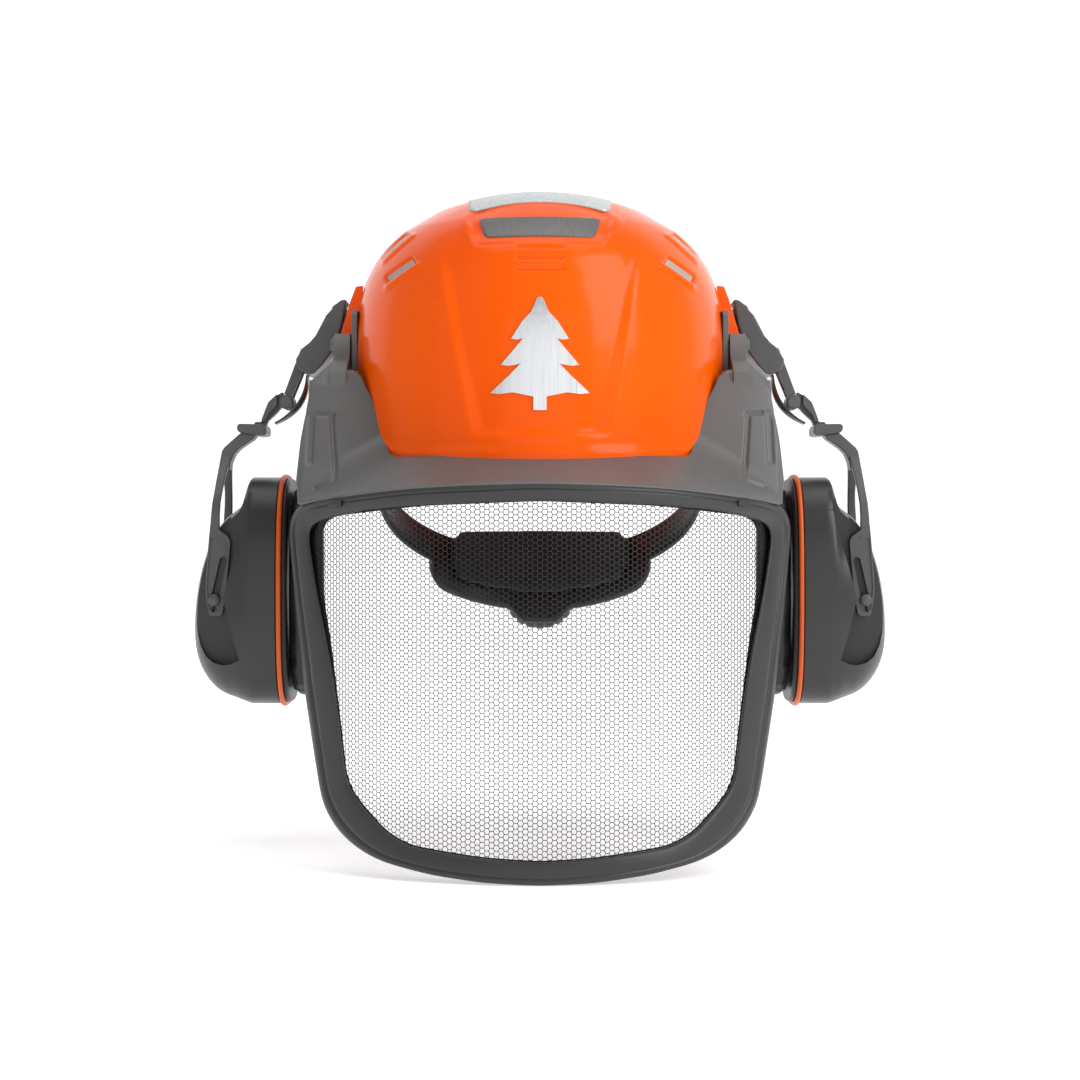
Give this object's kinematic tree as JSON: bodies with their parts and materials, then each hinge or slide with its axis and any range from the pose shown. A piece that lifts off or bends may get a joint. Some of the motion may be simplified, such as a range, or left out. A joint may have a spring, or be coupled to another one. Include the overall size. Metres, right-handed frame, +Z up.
{
  "type": "forestry helmet",
  "caption": "Hard-shell forestry helmet with a tilting mesh visor, two ear muffs on folding arms and a ratchet nape harness.",
  "frame": {"origin": "centre of the head opening, level with the front brim", "axes": "+Z up, -Y the way the wearer looks, +X the wearer's left"},
  "size_m": [0.393, 0.2885, 0.3701],
  "materials": {
    "shell_orange": "glossy moulded shell",
    "reflector_light": "retroreflective film",
    "reflector_dark": "retroreflective film",
    "vent_grey": "fine vent screen",
    "emblem_metal": "brushed",
    "visor_grey": "satin moulded grey",
    "arm_grey": "satin moulded dark grey",
    "cup_charcoal": "satin charcoal",
    "ring_orange": "moulded orange",
    "harness_black": "moulded black",
    "pad_black": "soft black padding",
    "strap_textile": "woven strap",
    "mesh_black": "etched black steel mesh",
    "foam_grey": "open-cell foam",
    "cushion_black": "soft black vinyl",
    "steel": "bright spring steel"
  },
  "bodies": {
    "helmet": {"helmet_shell": "shell_orange", "crown_reflector": "reflector_light", "front_reflector": "reflector_dark", "rear_reflector": "reflector_dark", "vent_inserts": "vent_grey", "emblem_plate": "emblem_metal", "left_slot_adapter": "visor_grey", "right_slot_adapter": "visor_grey", "headband": "harness_black", "sweatband": "pad_black", "crown_straps": "strap_textile", "harness_clips": "harness_black", "chin_strap_anchors": "harness_black"},
    "nape_adjuster": {"nape_straps": "harness_black", "nape_housing": "harness_black", "nape_cushion": "pad_black"},
    "nape_knob": {"size_knob": "harness_black", "size_pinion": "harness_black"},
    "visor": {"visor_brow": "visor_grey", "visor_frame": "visor_grey", "visor_mesh": "mesh_black", "mesh_retainer": "harness_black", "visor_clips": "visor_grey", "visor_pivot_pins": "visor_grey"},
    "left_swivel": {"left_arm_head": "arm_grey", "left_hinge_link": "arm_grey", "left_hinge_pin": "arm_grey", "left_swivel_stud": "steel", "left_leaf_spring": "steel"},
    "left_arm": {"left_swing_link": "arm_grey", "left_yoke": "arm_grey"},
    "left_slider": {"left_slider_pins": "arm_grey"},
    "left_cup": {"left_cup_shell": "cup_charcoal", "left_trim_ring": "ring_orange", "left_back_plate": "harness_black", "left_cup_foam": "foam_grey", "left_ear_cushion": "cushion_black"},
    "right_swivel": {"right_arm_head": "arm_grey", "right_hinge_link": "arm_grey", "right_hinge_pin": "arm_grey", "right_swivel_stud": "steel", "right_leaf_spring": "steel"},
    "right_arm": {"right_swing_link": "arm_grey", "right_yoke": "arm_grey"},
    "right_slider": {"right_slider_pins": "arm_grey"},
    "right_cup": {"right_cup_shell": "cup_charcoal", "right_trim_ring": "ring_orange", "right_back_plate": "harness_black", "right_cup_foam": "foam_grey", "right_ear_cushion": "cushion_black"}
  },
  "joints": [
    {"name": "visor_tilt", "type": "hinge", "parent": "helmet", "child": "visor", "pos_m": [0, -0.025, 0.068], "axis": [-1, 0, 0], "range_deg": [0, 85]},
    {"name": "nape_slide", "type": "slide", "parent": "helmet", "child": "nape_adjuster", "axis": [0, 0.8572, -0.515], "range_m": [-0.012, 0]},
    {"name": "size_knob_turn", "type": "hinge", "parent": "nape_adjuster", "child": "nape_knob", "pos_m": [0, 0.10182, -0.07518], "axis": [0, 0.8572, -0.515], "range_deg": [-115, 0]},
    {"name": "left_arm_turn", "type": "hinge", "parent": "helmet", "child": "left_swivel", "pos_m": [0.109, 0.01, 0.088], "axis": [0.9622, 0, 0.2723], "range_deg": [0, 90]},
    {"name": "left_arm_swing", "type": "hinge", "parent": "left_swivel", "child": "left_arm", "pos_m": [0.1448, 0.01, 0.0378], "axis": [0, -1, 0], "range_deg": [-20, 0], "deforming": ["left_leaf_spring"]},
    {"name": "left_cup_height", "type": "slide", "parent": "left_arm", "child": "left_slider", "axis": [0.2096, 0, -0.9778], "range_m": [-0.012, 0]},
    {"name": "left_cup_tilt", "type": "hinge", "parent": "left_slider", "child": "left_cup", "pos_m": [0.1825, 0.006, -0.0746], "axis": [0, -1, 0], "range_deg": [-8, 8]},
    {"name": "right_arm_turn", "type": "hinge", "parent": "helmet", "child": "right_swivel", "pos_m": [-0.109, 0.01, 0.088], "axis": [0.9622, 0, -0.2723], "range_deg": [0, 90]},
    {"name": "right_arm_swing", "type": "hinge", "parent": "right_swivel", "child": "right_arm", "pos_m": [-0.1448, 0.01, 0.0378], "axis": [0, 1, 0], "range_deg": [-20, 0], "deforming": ["right_leaf_spring"]},
    {"name": "right_cup_height", "type": "slide", "parent": "right_arm", "child": "right_slider", "axis": [-0.2096, 0, -0.9778], "range_m": [-0.012, 0]},
    {"name": "right_cup_tilt", "type": "hinge", "parent": "right_slider", "child": "right_cup", "pos_m": [-0.1825, 0.006, -0.0746], "axis": [0, 1, 0], "range_deg": [-8, 8]}
  ],
  "couplings": [
    {"joint": "size_knob_turn", "follows": "nape_slide", "rad_per_m": 166.67}
  ]
}
